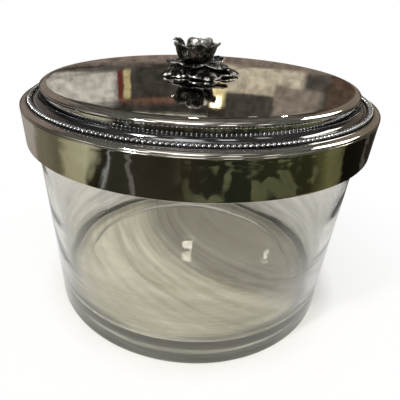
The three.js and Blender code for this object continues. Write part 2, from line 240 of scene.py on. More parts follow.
def thin_shell(surface, relief, thickness, rim_thickness, rows, columns):
    """A closed leaf of metal round surface(u, v), u from 0 to 1 and v from -1 to 1.

    Both faces lie half the thickness from the middle surface along its normal. The thickness
    changes evenly from the root to the rim, and falls off as a round edge at the sides and the
    tip, where the two faces share their points. relief(u, v) lifts the upper face by small marks,
    and also gives the crest value of the points.
    """
    u = np.sin(np.linspace(0, np.pi / 2, rows))[:, None] * np.ones((1, columns))
    v = np.sin(np.linspace(-np.pi / 2, np.pi / 2, columns))[None, :] * np.ones((rows, 1))
    middle = surface(u, v)
    step = 1e-3
    along = surface(u + step, v) - surface(u - step, v)
    across = surface(u, v + step) - surface(u, v - step)
    normal = np.cross(along, across)
    normal /= np.linalg.norm(normal, axis=2, keepdims=True)
    edge = np.sqrt(np.clip(1 - np.abs(v) ** 5, 0, 1)) * np.sqrt(np.clip(1 - u ** 7, 0, 1))
    marks, crest = relief(u, v)
    half = (thickness + (rim_thickness - thickness) * u) / 2 * edge
    top = middle + normal * (half + marks * edge)[..., None]
    bottom = middle - normal * half[..., None]
    total = rows * columns
    upper = np.arange(total).reshape(rows, columns)
    lower = upper + total
    shared = np.zeros((rows, columns), dtype=bool)
    shared[:, 0] = shared[:, -1] = shared[-1, :] = True
    lower = np.where(shared, upper, lower).ravel()
    top_faces = grid_faces(rows, columns)
    j = np.arange(1, columns - 2)
    root = np.stack([j, j + 1, lower[j + 1], lower[j]], axis=1)
    root_ends = np.array([[0, 1, lower[1]], [columns - 2, columns - 1, lower[columns - 2]]])
    faces = [top_faces, lower[top_faces[:, ::-1]], root, root_ends]
    points = np.concatenate([top.reshape(-1, 3), bottom.reshape(-1, 3)])
    worn = np.concatenate([crest.ravel(), crest.ravel() * 0.5])
    return points, faces, worn


def turn(points, degrees, height):
    """Points turned about Z and lifted to a height."""
    a = math.radians(degrees)
    spin = np.array([[math.cos(a), math.sin(a), 0], [-math.sin(a), math.cos(a), 0], [0, 0, 1]])
    return points @ spin + np.array([0, 0, height])


def join_parts(name, parts, mat):
    """One object from (points, faces, crest) parts. Points that no face uses are dropped."""
    points = np.concatenate([part[0] for part in parts])
    crest = np.concatenate([part[2] for part in parts])
    starts = np.cumsum([0] + [len(part[0]) for part in parts[:-1]])
    faces = [group + start for start, part in zip(starts, parts) for group in part[1]]
    used = np.unique(np.concatenate([group.ravel() for group in faces]))
    renumber = np.full(len(points), -1)
    renumber[used] = np.arange(len(used))
    faces = [renumber[group] for group in faces]
    return make_object(name, points[used], faces, mat, crest[used])


# Materials


def new_material(name):
    """A node material and its principled shader."""
    mat = bpy.data.materials.new(name)
    mat.use_nodes = True
    shader = mat.node_tree.nodes["Principled BSDF"]
    return mat, shader


def add(mat, kind, **values):
    """A node of that kind, with its properties or input sockets set by name."""
    node = mat.node_tree.nodes.new(kind)
    for key, value in values.items():
        if hasattr(node, key):
            setattr(node, key, value)
        else:
            node.inputs[key.replace("_", " ")].default_value = value
    return node


def link(mat, start, end):
    """Joins an output socket to an input socket."""
    mat.node_tree.links.new(start, end)


def coordinates(mat, scale=(1, 1, 1)):
    """Object coordinates, stretched by a scale along each axis."""
    source = add(mat, "ShaderNodeTexCoord")
    mapping = add(mat, "ShaderNodeMapping")
    mapping.inputs["Scale"].default_value = scale
    link(mat, source.outputs["Object"], mapping.inputs["Vector"])
    return mapping.outputs["Vector"]


def noise(mat, vector, scale, detail=3.0, roughness=0.5, distortion=0.0):
    """Noise from 0 to 1, with its scale in cells per metre."""
    node = add(mat, "ShaderNodeTexNoise", Scale=scale, Detail=detail, Roughness=roughness)
    node.inputs["Distortion"].default_value = distortion
    link(mat, vector, node.inputs["Vector"])
    return node.outputs["Fac"]


def spread(mat, value, low, high, to_low, to_high):
    """Maps low to high onto to_low to to_high, held at the ends."""
    node = add(mat, "ShaderNodeMapRange")
    numbers = {"From Min": low, "From Max": high, "To Min": to_low, "To Max": to_high}
    for key, number in numbers.items():
        node.inputs[key].default_value = number
    link(mat, value, node.inputs["Value"])
    return node.outputs["Result"]


def combine(mat, first, second, operation="ADD"):
    """Two values added, or combined by another operation. Either may be a plain number."""
    node = add(mat, "ShaderNodeMath", operation=operation)
    for socket, value in zip(node.inputs, (first, second)):
        if isinstance(value, (int, float)):
            socket.default_value = value
        else:
            link(mat, value, socket)
    return node.outputs[0]


def product(mat, first, second):
    """Two values multiplied."""
    return combine(mat, first, second, "MULTIPLY")


def mix_colours(mat, share, first, second):
    """The first colour at share 0 and the second at share 1, as sockets or three numbers."""
    node = add(mat, "ShaderNodeMix", data_type="RGBA")
    link(mat, share, node.inputs["Factor"])
    for key, colour in (("A", first), ("B", second)):
        socket = next(s for s in node.inputs if s.name == key and s.type == "RGBA")
        if isinstance(colour, tuple):
            socket.default_value = (*colour, 1)
        else:
            link(mat, colour, socket)
    return next(s for s in node.outputs if s.type == "RGBA")


def radius_of(mat, centre=(0, 0)):
    """Distance of a point from the jar's axis, or from another upright line, in metres."""
    source = add(mat, "ShaderNodeTexCoord")
    flat = add(mat, "ShaderNodeVectorMath", operation="MULTIPLY_ADD")
    flat.inputs[1].default_value = (1, 1, 0)
    flat.inputs[2].default_value = (-centre[0], -centre[1], 0)
    length = add(mat, "ShaderNodeVectorMath", operation="LENGTH")
    link(mat, source.outputs["Object"], flat.inputs[0])
    link(mat, flat.outputs["Vector"], length.inputs[0])
    return length.outputs["Value"]


def radius_vector(mat, radius, across, along):
    """A vector that changes fast with a radius and slowly from place to place."""
    source = add(mat, "ShaderNodeTexCoord")
    split = add(mat, "ShaderNodeSeparateXYZ")
    link(mat, source.outputs["Object"], split.inputs[0])
    join = add(mat, "ShaderNodeCombineXYZ")
    link(mat, product(mat, radius, across), join.inputs[0])
    link(mat, product(mat, split.outputs[0], along), join.inputs[1])
    link(mat, product(mat, split.outputs[1], along), join.inputs[2])
    return join.outputs["Vector"]


def mix_surface(mat, share, first, second):
    """A surface that is the first shader at share 0 and the second at share 1."""
    either = add(mat, "ShaderNodeMixShader")
    for socket, start in zip(either.inputs, (share, first.outputs[0], second.outputs[0])):
        link(mat, start, socket)
    link(mat, either.outputs[0], mat.node_tree.nodes["Material Output"].inputs["Surface"])


def seen_share(mat):
    """1 for camera, glossy and transmission rays, and 0 for the rays that only light the scene."""
    path = add(mat, "ShaderNodeLightPath")
    seen = combine(mat, path.outputs["Is Camera Ray"], path.outputs["Is Glossy Ray"], "MAXIMUM")
    return combine(mat, seen, path.outputs["Is Transmission Ray"], "MAXIMUM")


def between(mat, value, low_from, low_to, high_from, high_to):
    """1 between two soft edges of a value, and 0 outside them."""
    rise = spread(mat, value, low_from, low_to, 0, 1)
    fall = spread(mat, value, high_from, high_to, 1, 0)
    return product(mat, rise, fall)


def bump(mat, shader, height, strength, distance):
    """Bump from a height, linked to the shader's normal."""
    node = add(mat, "ShaderNodeBump", Strength=strength, Distance=distance)
    link(mat, height, node.inputs["Height"])
    link(mat, node.outputs["Normal"], shader.inputs["Normal"])


def silver_plate(name, bright, tarnish_and_painted_shade, tarnish_range, rough_range, wave):
    """Polished plate: tarnished patches, smudges in the polish, fine wipe marks, slow waves, painted
    recess shade.
    """
    mat, shader = new_material(name)
    vector = coordinates(mat)
    shader.inputs["Metallic"].default_value = 1.0
    patches = noise(mat, vector, 26, detail=5, roughness=0.6, distortion=0.4)
    share = spread(mat, patches, *tarnish_range, 0, 1)
    fine = noise(mat, vector, 420, detail=4, roughness=0.7)
    speck = spread(mat, fine, 0.62, 0.8, 0, 0.35)
    share = combine(mat, share, speck, "MAXIMUM")
    plate = mix_colours(mat, share, bright, tarnish_and_painted_shade)
    # Painted shade: the lid's recess beside the beads is mixed towards dark blue-grey and made
    # rougher.
    painted_recess_shade = add(mat, "ShaderNodeAttribute", attribute_name="tarnish_and_painted_shade").outputs["Fac"]
    painted_recess_shade = product(mat, painted_recess_shade, spread(mat, patches, 0.3, 0.7, 0.75, 1.1))
    colour = mix_colours(mat, painted_recess_shade, plate, (0.16, 0.165, 0.18))
    link(mat, colour, shader.inputs["Base Color"])
    smudge = noise(mat, vector, 60, detail=6, roughness=0.65, distortion=0.8)
    wipe = noise(mat, coordinates(mat, (900, 900, 60)), 1.0, detail=2)
    rough = combine(mat, smudge, spread(mat, wipe, 0.35, 0.75, -0.1, 0.1))
    rough = combine(mat, rough, painted_recess_shade)
    link(mat, spread(mat, rough, 0.35, 0.75, *rough_range), shader.inputs["Roughness"])
    slow = noise(mat, vector, 42, detail=1)
    height = combine(mat, product(mat, slow, wave), product(mat, fine, 0.012))
    bump(mat, shader, height, 0.6, 0.0012)
    return mat


def worn_silver(name, dark, pale, patchiness, rough_range, relief):
    """Oxidised silver: nearly black in the hollows, worn bright on the crests, slightly rough."""
    mat, shader = new_material(name)
    vector = coordinates(mat)
    shader.inputs["Metallic"].default_value = 1.0
    crest = add(mat, "ShaderNodeAttribute", attribute_name="crest").outputs["Fac"]
    patches = noise(mat, vector, 260, detail=6, roughness=0.7)
    worn = combine(mat, crest, spread(mat, patches, 0.3, 0.7, -patchiness, patchiness))
    share = spread(mat, worn, 0.2, 0.95, 0, 1)
    link(mat, mix_colours(mat, share, dark, pale), shader.inputs["Base Color"])
    link(mat, spread(mat, worn, 0, 1, *rough_range), shader.inputs["Roughness"])
    pits = noise(mat, vector, 1400, detail=3, roughness=0.6)
    lumps = noise(mat, vector, 420, detail=3, roughness=0.5)
    height = combine(mat, product(mat, pits, 0.25), lumps)
    bump(mat, shader, height, relief, 0.0007)
    return mat


def clear_glass():
    """Thick grey glass with faint waves, soft rings and painted shade in the lower wall, and a
    scuffed foot.

    Light passes it without dark shadows.
    """
    mat, shader = new_material("clear_glass")
    vector = coordinates(mat)
    place = add(mat, "ShaderNodeSeparateXYZ")
    link(mat, vector, place.inputs[0])
    scuffed = spread(mat, place.outputs[2], 1.3 * mm, 2.2 * mm, 0.82, 1.0)
    link(mat, scuffed, shader.inputs["Transmission Weight"])
    shader.inputs["IOR"].default_value = 1.5
    film = noise(mat, vector, 35, detail=6, roughness=0.65, distortion=1.2)
    link(mat, spread(mat, film, 0.45, 0.8, 0.0, 0.03), shader.inputs["Roughness"])
    cloudy = spread(mat, film, 0.3, 0.8, 0, 1)
    tint = mix_colours(mat, cloudy, (0.895, 0.88, 0.845), (0.87, 0.855, 0.815))
    wall = spread(mat, radius_of(mat), RIM_RADIUS - 13 * mm, RIM_RADIUS - 9 * mm, 0, 1)
    low = spread(mat, place.outputs[2], 12 * mm, 66 * mm, 1, 0)
    lower_wall = product(mat, wall, low)
    rings = noise(mat, coordinates(mat, (1, 1, 17)), 15, detail=2, roughness=0.6)
    # Painted shade: the lower outer wall is mixed towards dark grey, most towards the bottom and in
    # soft bands.
    painted_shade_bands = product(mat, lower_wall, spread(mat, rings, 0.42, 0.56, 0.5, 1.1))
    tint = mix_colours(mat, painted_shade_bands, tint, (0.42, 0.412, 0.37))
    link(mat, tint, shader.inputs["Base Color"])
    slow = noise(mat, coordinates(mat, (1, 1, 2.4)), 18, detail=1)
    rings = product(mat, product(mat, rings, lower_wall), 0.3)
    bump(mat, shader, combine(mat, slow, rings), 0.25, 0.002)
    absorption = add(mat, "ShaderNodeVolumeAbsorption", Density=60.0)
    absorption.inputs["Color"].default_value = (0.80, 0.797, 0.772, 1)
    path = add(mat, "ShaderNodeLightPath")
    clear = add(mat, "ShaderNodeBsdfTransparent")
    clear.inputs["Color"].default_value = (0.93, 0.94, 0.92, 1)
    mix_surface(mat, path.outputs["Is Shadow Ray"], shader, clear)
    link(mat, absorption.outputs[0], mat.node_tree.nodes["Material Output"].inputs["Volume"])
    return mat


def plain_brass():
    """Turned brass, dull with age."""
    mat, shader = new_material("plain_brass")
    vector = coordinates(mat)
    shader.inputs["Metallic"].default_value = 1.0
    patches = noise(mat, vector, 180, detail=5)
    share = spread(mat, patches, 0.35, 0.7, 0, 1)
    colour = mix_colours(mat, share, (0.55, 0.43, 0.22), (0.25, 0.19, 0.1))
    link(mat, colour, shader.inputs["Base Color"])
    link(mat, spread(mat, patches, 0.3, 0.7, 0.25, 0.5), shader.inputs["Roughness"])
    bump(mat, shader, noise(mat, coordinates(mat, (1, 1, 8)), 900, detail=2), 0.2, 0.0003)
    return mat


# Pieces


def jar_profile():
    """Recess, foot ring, flared wall, fire-polished rim, inner wall, rounded corner and floor."""
    foot = RIM_RADIUS - TAPER

    def outer(z):
        return foot + TAPER * (z / JAR_TOP) ** FLARE_POWER

    def wall(z):
        return WALL_AT_FOOT + (WALL_AT_RIM - WALL_AT_FOOT) * z / JAR_TOP

    rim = WALL_AT_RIM / 2
    wall_top, corner_top = GLASS_TOP - rim, GLASS_FLOOR + INNER_CORNER
    corner = outer(corner_top) - wall(corner_top) - INNER_CORNER
    recess = foot - FOOT_RING
    up = np.linspace(FOOT_EDGE, wall_top, 44)[1:-1]
    down = np.linspace(wall_top, corner_top, 40)[1:-1]
    return np.concatenate([
        [[0, RECESS_DEPTH]],
        line((0, RECESS_DEPTH), (recess - RECESS_SLOPE, RECESS_DEPTH), 12),
        [[recess - RECESS_SLOPE, RECESS_DEPTH]],
        line((recess - RECESS_SLOPE, RECESS_DEPTH), (recess, 0), 3),
        line((recess, 0), (foot - FOOT_EDGE, 0), 6),
        arc(foot - FOOT_EDGE, FOOT_EDGE, FOOT_EDGE, FOOT_EDGE, -90, 0, 9),
        np.stack([outer(up), up], axis=1),
        arc(RIM_RADIUS - rim, wall_top, rim, rim, 0, 180, 15),
        np.stack([outer(down) - wall(down), down], axis=1),
        arc(corner, corner_top, INNER_CORNER, INNER_CORNER, 0, -90, 15),
        line((corner, GLASS_FLOOR), (0, GLASS_FLOOR), 24),
        [[0, GLASS_FLOOR]],
    ])


def jar_piece():
    """The glass, with slow waves in its inner wall and floor."""
    profile = jar_profile()

    def wobble(angle, share):
        wave = GLASS_WAVE * ripples(angle, share, 9, seed=3)
        inside = smooth(share, 0.5, 0.56)
        floor = smooth(share, 0.84, 0.9)
        return -0.6 * wave * inside * (1 - floor), wave * floor * (1 - smooth(share, 0.97, 1))

    return lathe("jar_glass", profile, JAR_SEGMENTS, clear_glass(), closed=False, wobble=wobble)


def cover_face(depth):
    """One face of the pressed cover, a depth below the outer face, from the lip to the bolt hole.

    Shoulder, ledge with a ridge on each side of the beads, cove, wall, falling edge and dome. The
    edge turns back under itself to the wall only on the outer face.
    """
    step = LID_RADIUS - LEDGE
    crown = LID_RADIUS - SHOULDER_WIDTH
    edge_end = step + EDGE_OVERHANG
    edge_z = LEDGE_TOP + EDGE_HEIGHT
    turned = math.radians(EDGE_TURN)
    join = edge_end - EDGE_WIDTH * (1 - math.cos(turned)), edge_z + EDGE_FALL * math.sin(turned)
    sag = DOME_TOP - join[1]
    dome = (join[0] ** 2 + sag ** 2) / (2 * sag)
    dome_start = math.degrees(math.acos(join[0] / dome))
    dome_end = math.degrees(math.acos(BOLT_HOLE / dome))
    return_start = -math.degrees(math.acos(1 - EDGE_OVERHANG / EDGE_RETURN))
    ledge = np.linspace(crown, step + COVE_RADIUS, 48)[1:-1]
    from_beads = np.abs(ledge - (LID_RADIUS - BEAD_INSET)) - RIDGE_SPACE
    ridges = RIDGE_HEIGHT * np.exp(-((from_beads / RIDGE_WIDTH) ** 2))
    cove = COVE_RADIUS + depth
    back = EDGE_RETURN - depth
    back_count = 4 if back > 0 else 0
    return np.concatenate([
        arc(crown, LEDGE_TOP - SHOULDER_HEIGHT,
            SHOULDER_WIDTH - depth, SHOULDER_HEIGHT - depth, 0, 90, 20),
        np.stack([ledge, LEDGE_TOP - depth + ridges], axis=1),
        arc(step + COVE_RADIUS, LEDGE_TOP + COVE_RADIUS, cove, cove, 270, 180, 14),
        line((step - depth, LEDGE_TOP + COVE_RADIUS), (step - depth, edge_z - EDGE_RETURN), 5),
        arc(edge_end - EDGE_RETURN, edge_z, back, back, return_start, 0, 5)[:back_count],
        arc(edge_end - EDGE_WIDTH, edge_z, EDGE_WIDTH - depth, EDGE_FALL - depth, 0, EDGE_TURN, 28),
        arc(0, DOME_TOP - dome, dome - depth, dome - depth, dome_start, dome_end, 42)[1:],
    ])


def lid_piece(mat):
    """The pressed cover, polished by hand so that its dome and shoulder are slightly wavy."""
    profile = np.concatenate([cover_face(0), cover_face(SHEET)[::-1]])

    def wobble(angle, share):
        wave = COVER_WAVE * ripples(angle, share * 3, 11, seed=5)
        held = smooth(share, 0.02, 0.06) * (1 - smooth(share, 0.47, 0.495))
        return 0 * wave, wave * held

    step = LID_RADIUS - LEDGE
    crown = LID_RADIUS - SHOULDER_WIDTH
    r, z = cover_face(0).T
    # Painted shade in the recess: the wall's lower part, the cove and the ledge up to the shoulder.
    painted_recess_shade = smooth(r, step - 1 * mm, step) * (1 - smooth(r, crown - 0.3 * mm, crown + 0.9 * mm))
    painted_recess_shade *= 1 - smooth(z, LEDGE_TOP + 3.5 * mm, LEDGE_TOP + 5.2 * mm)
    tarnish_and_painted_shade = np.append(painted_recess_shade, np.zeros(len(cover_face(SHEET))))
    return lathe("lid_pressing", profile, COVER_SEGMENTS, mat,
                 closed=True, wobble=wobble, tarnish_and_painted_shade=tarnish_and_painted_shade)


def band_piece(mat):
    """The plain band under the cover's edge, with its hand-polished waves."""
    foot = LID_RADIUS - BAND_DRAFT
    bevel = BAND_BREAK
    profile = np.concatenate([
        arc(foot - bevel, BAND_LOW + bevel, bevel, bevel, -90, 0, 6),
        line((foot, BAND_LOW + bevel), (LID_RADIUS, BAND_TOP), 26),
        [[LID_RADIUS, BAND_TOP], [LID_RADIUS - SHEET, BAND_TOP]],
        line((LID_RADIUS - SHEET, BAND_TOP), (foot - SHEET, BAND_LOW + bevel), 12),
        arc(foot - SHEET + bevel, BAND_LOW + bevel, bevel, bevel, 180, 270, 6),
    ])

    def wobble(angle, share):
        wave = 0.5 * ripples(angle, share, 13, seed=11) - 0.5
        return BAND_WAVE * wave * (1 - smooth(share, 0.55, 0.6)), 0 * wave

    return lathe("skirt", profile, BAND_SEGMENTS, mat, closed=True, wobble=wobble)


def bead_piece(mat):
    """Beads on a wire: half width and height = root of (1 - place squared) along each bead."""
    steps, corners = 6, 8
    stations = steps * BEAD_COUNT
    angle = full_turn(stations)[:, None]
    place = (np.arange(stations) / steps % 1 * 2 - 1)[:, None]
    swell = np.sqrt(1 - (0.99 * place) ** 2)
    around = np.linspace(0, np.pi, corners)[None, :]
    across = BEAD_WIDTH / 2 * swell * np.cos(around)
    up = BEAD_HEIGHT * (0.08 + 0.92 * swell) * np.sin(around) ** 0.8
    r = LID_RADIUS - BEAD_INSET + across
    points = round_axis(r, angle, LEDGE_TOP + GAP + up)
    faces = [grid_faces(stations, corners, wrap_rows=True, wrap_columns=True)]
    crest = smooth(swell, 0.4, 0.9) * smooth(up / BEAD_HEIGHT, 0.1, 0.6)
    return make_object("beads", points, faces, mat, crest.ravel())


def leaf_part(leaf, n):
    """One folded leaf with a midrib, slanting veins and a toothed edge.

    Half width = sine outline times the teeth; height = hub level + swell of the ridge - fold.
    """
    reach = leaf["reach"] * leaf["reach_shares"][n]
    length = reach - leaf["root"]
    phase = leaf["azimuths"][n]

    def surface(u, v):
        inside = np.clip(u, 0, 1)
        edge = np.abs(v)
        teeth = np.abs(np.sin(np.pi * leaf["teeth"] * inside ** 0.9 + phase)) ** 0.7
        nick = 1 + leaf["tooth_share"] * (teeth - 0.6) * smooth(edge, 0.35, 1)
        width = np.sin(np.pi * (0.06 + 0.86 * inside ** 1.2)) ** 0.8
        swell = np.sin(np.pi * inside ** 0.9)
        fold = leaf["edge_drop"] * edge * width * swell
        buckle = 0.5 * mm * np.sin(6 * inside + 4 * v + phase) * inside * edge
        lift = reach * leaf["lift_shares"][n] * inside ** 2
        z = leaf["hub"] / 2 + leaf["ridge_rise"] * swell - fold + lift + buckle
        x = leaf["root"] + length * u * (1 - 0.12 * v * v * u)
        return np.stack([x, v * width * nick * leaf["half_width"], z], axis=2)

    def relief(u, v):
        edge = np.abs(v)
        midrib = np.exp(-((v / 0.07) ** 2))
        slant = leaf["veins"] * (u - 0.3 * edge)
        veins = np.cos(2 * np.pi * (slant + 0.35 * np.sin(4 * v + phase)))
        body = smooth(edge, 0.08, 0.25) * (1 - smooth(edge, 0.8, 0.98))
        rim = smooth(edge, 0.82, 0.97)
        lumps = leaf["lumps"] * np.sin(13 * u + phase) * np.sin(5.5 * v + 2 * phase)
        lumps = lumps * smooth(u, 0.2, 0.5)
        marks = 0.3 * mm * (veins * body + lumps - midrib * (1 - u)) + 0.2 * mm * rim
        crest = 0.25 + 0.15 * veins * body + 0.45 * lumps - 0.3 * midrib + 0.75 * rim
        return marks, np.clip(crest, 0, 1)

    rim_thickness = leaf["rim_thickness"]
    points, faces, crest = thin_shell(surface, relief, leaf["thickness"], rim_thickness, *LEAF_GRID)
    return turn(points, leaf["azimuths"][n], leaf["base"]), faces, crest


def petal_part(petal, n):
    """One cupped petal with a rolled lip, soft pleats and veins.

    Radius = root + reach times (upright wall and slant, mixed by the open share) - curl + lip;
    height = hub level + height times (1 - cosine), lowered at the corners of the rim.
    """
    height = petal["height"] * petal["height_shares"][n]
    reach = petal["reach"] * petal["reach_shares"][n]
    opening = petal["open_shares"][n]
    phase = petal["azimuths"][n]
    whole = math.radians(petal["whole_turn"])

    def surface(u, v):
        inside = np.clip(u, 0, 1)
        bend = inside * whole
        out = (1 - opening) * np.abs(np.sin(bend)) ** 0.34 + 1.25 * opening * inside
        lean = petal["imbrication"] * v * u - petal["curl"] * smooth(u, 0.55, 1.1)
        lip = petal["lip"] * smooth(u, 0.78, 1.02) * (1 - 0.4 * np.abs(v))
        pleat = petal["pleat"] * np.sin(3.2 * v + phase) * inside ** 2
        fold = petal["fold"] * petal["fold_shares"][n] * v * v * inside
        r = petal["root"] + reach * out + lean + lip + pleat + fold
        climb = height * ((1 - np.cos(bend)) / (1 - math.cos(whole))) ** 0.85
        scallop = petal["scallop"] * np.sin(7 * v + phase) * inside ** 6
        sink = petal["tuck"] * smooth(inside, 0.7, 1.05)
        z = petal["hub"] / 2 + climb - petal["rim_round"] * v * v * inside ** 3 + scallop
        z = z - sink - 0.4 * lip
        fan = np.sin(np.pi * (0.2 + 0.5 * u)) ** 0.7
        angle = np.radians(petal["half_angle"] * petal["width_shares"][n] * fan) * v
        return round_axis(r, angle, z)

    def relief(u, v):
        veins = np.cos(2 * np.pi * 5.5 * v + 0.6 * np.sin(6 * u + phase))
        body = smooth(u, 0.25, 0.5) * (1 - smooth(u, 0.86, 0.97)) * petal["veined"]
        rim = smooth(u, 0.92, 0.99) + 0.5 * smooth(np.abs(v), 0.92, 0.99) * smooth(u, 0.5, 0.8)
        marks = 0.14 * mm * veins * body + 0.1 * mm * rim
        crest = petal["polish"] + 0.32 * veins * body + rim - 0.3 * (1 - smooth(u, 0.2, 0.6))
        return marks, np.clip(crest, 0, 1)

    thickness = petal["thickness"]
    rim_thickness = thickness * petal["rim_thickness_shares"][n]
    points, faces, crest = thin_shell(surface, relief, thickness, rim_thickness, *PETAL_GRID)
    return turn(points, petal["azimuths"][n], petal["base"]), faces, crest


def hub_part(piece):
    """The flat ring with rounded edges that the leaves or petals of a rosette grow from."""
    half = piece["hub"] / 2
    profile = np.concatenate([
        arc(piece["hub_radius"] - half, half, half, half, -90, 90, 7),
        arc(BOLT_HOLE + half * 0.3, half, half * 0.3, half, 90, 270, 5),
    ])
    points = round_axis(profile[:, 0], full_turn(HUB_SEGMENTS)[:, None], profile[:, 1])
    faces = [grid_faces(HUB_SEGMENTS, len(profile), wrap_rows=True, wrap_columns=True)]
    points = turn(points.reshape(-1, 3), 0, piece["base"])
    return points, faces, np.full(len(points), 0.3)


LOWER_LEAVES = dict(
    base=LOWER_BASE, hub=LOWER_HUB, hub_radius=6.2 * mm, root=4.7 * mm, reach=21.5 * mm,
    half_width=8.2 * mm, thickness=0.9 * mm, rim_thickness=0.9 * mm, ridge_rise=2.9 * mm,
    edge_drop=3 * mm, teeth=5, tooth_share=0.16, veins=5, lumps=1,
    azimuths=(-148, -74, -10, 62, 134),
    reach_shares=(1, 1, 1, 0.93, 0.96), lift_shares=(-0.02, -0.02, 0, 0, 0),
)

UPPER_LEAVES = dict(
    base=UPPER_BASE, hub=UPPER_HUB, hub_radius=5.6 * mm, root=3.2 * mm, reach=17.5 * mm,
    half_width=6.7 * mm, thickness=0.8 * mm, rim_thickness=1.3 * mm, ridge_rise=-0.3 * mm,
    edge_drop=-0.7 * mm, teeth=8, tooth_share=0.1, veins=6, lumps=0.3,
    azimuths=(-112, -34, 36, 104, 172),
    reach_shares=(0.76, 1.06, 0.92, 0.95, 0.98), lift_shares=(0, -0.03, 0.13, 0.03, 0.03),
)

OUTER_PETALS = dict(
    base=OUTER_BASE, hub=OUTER_HUB, hub_radius=5 * mm, root=3 * mm, reach=8.1 * mm, whole_turn=90,
    height=8.9 * mm, thickness=0.9 * mm, half_angle=40, imbrication=0.4 * mm, rim_round=1.6 * mm,
    curl=0, tuck=0, scallop=0.2 * mm, lip=1.7 * mm, pleat=0.25 * mm, fold=1.2 * mm, polish=0.2,
    veined=1,
    azimuths=(-146, -96, -22, 70, 150), height_shares=(1.08, 1.2, 1.12, 1, 1.22),
    open_shares=(0, 0, 0.5, 0.3, 0.5), width_shares=(1, 0.62, 0.9, 1, 0.42),
    reach_shares=(1.08, 1.14, 0.72, 1, 1), fold_shares=(0, 0, 0, 0, 1),
    rim_thickness_shares=(1.6, 1.8, 1.4, 1.4, 2),
)

INNER_PETALS = dict(
    base=INNER_BASE, hub=INNER_HUB, hub_radius=4 * mm, root=2.9 * mm, reach=3.6 * mm,
    whole_turn=125, height=14 * mm, thickness=0.9 * mm, half_angle=72, imbrication=0.3 * mm,
    rim_round=2.2 * mm, curl=3.3 * mm, tuck=5 * mm, scallop=0, lip=0, pleat=0.1 * mm, fold=0,
    polish=1.0, veined=0.5,
    azimuths=(-129, -41, 90), height_shares=(1, 1, 0.86), open_shares=(0, 0, 0),
    width_shares=(0.64, 0.62, 1), reach_shares=(1, 1.1, 1), fold_shares=(0, 0, 0),
    rim_thickness_shares=(1, 1, 1),
)


def rosette(name, piece, part, mat):
    """A hub with its leaves or petals, as one piece."""
    parts = [part(piece, n) for n in range(len(piece["azimuths"]))]
    return join_parts(name, [hub_part(piece), *parts], mat)


def bud_piece(mat):
    """Wrapped bud: a rounded body whose radius dips along twisted creases between its petals."""
    radius, height, dimple = 2.6 * mm, 9.0 * mm, 0.7 * mm
    creases, twist = 3, math.radians(150)
    rows, columns = 40, 72
    polar = np.linspace(0, np.pi, rows + 2)[1:-1, None]
    angle = full_turn(columns)[None, :]
    share = (1 - np.cos(polar)) / 2
    wrap = np.mod(creases * (angle - twist * share), 2 * np.pi) - np.pi
    crease = np.exp(-((wrap / 0.35) ** 2))
    r = radius * np.sin(polar) ** 0.75 * (1.04 - 0.16 * crease)
    z = height * share - dimple * smooth(share, 0.8, 1) * (1 - smooth(r, 0, 0.4 * radius))
    points = round_axis(r, angle, z).reshape(-1, 3)
    points = np.vstack([points, [[0, 0, 0], [0, 0, height - dimple]]])
    j = np.arange(columns)
    bottom = tip_faces(len(points) - 2, j[::-1])
    top = tip_faces(len(points) - 1, (rows - 1) * columns + j)
    faces = [grid_faces(rows, columns, wrap_columns=True)[:, ::-1], bottom, top]
    crest = np.append((0.75 - 0.7 * crease).ravel(), [0, 0.5])
    return make_object("bud", points + np.array([0, 0, BUD_BASE]), faces, mat, crest)


# Studio


def make_floor():
    """A pale warm floor that keeps the shadow near the jar and fades to the white background.

    Curved dark and pale streaks lie where the wall of the jar would gather the key lamp's light.
    """
    rim = round_axis(FLOOR_RADIUS, full_turn(STUDIO_SEGMENTS), -0.1 * mm)
    mat, shader = new_material("floor")
    vector = coordinates(mat)
    tone = spread(mat, noise(mat, vector, 45, detail=5), 0.3, 0.7, 0, 1)
    base = mix_colours(mat, tone, (0.77, 0.748, 0.71), (0.87, 0.848, 0.805))
    from_shadow = radius_of(mat, SHADOW_MIDDLE)
    curved = radius_vector(mat, from_shadow, 210.0, 12.0)
    streaks = noise(mat, curved, 1.0, detail=2, roughness=0.55)
    lit = spread(mat, from_shadow, 0.9 * LID_RADIUS, LID_RADIUS, 0.3, 1)
    for end, colour in ((0.30, (0.52, 0.50, 0.45)), (0.64, (1.0, 0.99, 0.96))):
        share = product(mat, spread(mat, streaks, 0.50, end, 0, 1), lit)
        base = mix_colours(mat, share, base, colour)
    away = radius_of(mat)
    pale = spread(mat, away, 0.076, 0.082, 0, 1)
    link(mat, mix_colours(mat, pale, base, (0.88, 0.87, 0.86)), shader.inputs["Base Color"])
    shader.inputs["Roughness"].default_value = 0.9
    shader.inputs["Specular IOR Level"].default_value = 0.1
    white = add(mat, "ShaderNodeEmission", Strength=1.0)
    near = spread(mat, away, 0.080, 0.096, 0, 0.72)
    far = spread(mat, away, 0.096, 0.20, 0, 0.28)
    share = product(mat, combine(mat, near, far), seen_share(mat))
    mix_surface(mat, share, shader, white)
    floor = make_object("floor", rim, [np.arange(STUDIO_SEGMENTS)[None, :]], mat)


def new_card(name):
    """A node material that only glows, and its emission shader."""
    mat = bpy.data.materials.new(name)
    mat.use_nodes = True
    nodes = mat.node_tree.nodes
    nodes.remove(nodes["Principled BSDF"])
    glow = add(mat, "ShaderNodeEmission", Strength=1.0)
    link(mat, glow.outputs[0], nodes["Material Output"].inputs["Surface"])
    return mat, glow


def only_reflected(card):
    """A card that only polished metal and glass reflect."""
    card.visible_camera = False
    card.visible_diffuse = False
    card.visible_transmission = False
    card.visible_shadow = False
    card.visible_volume_scatter = False


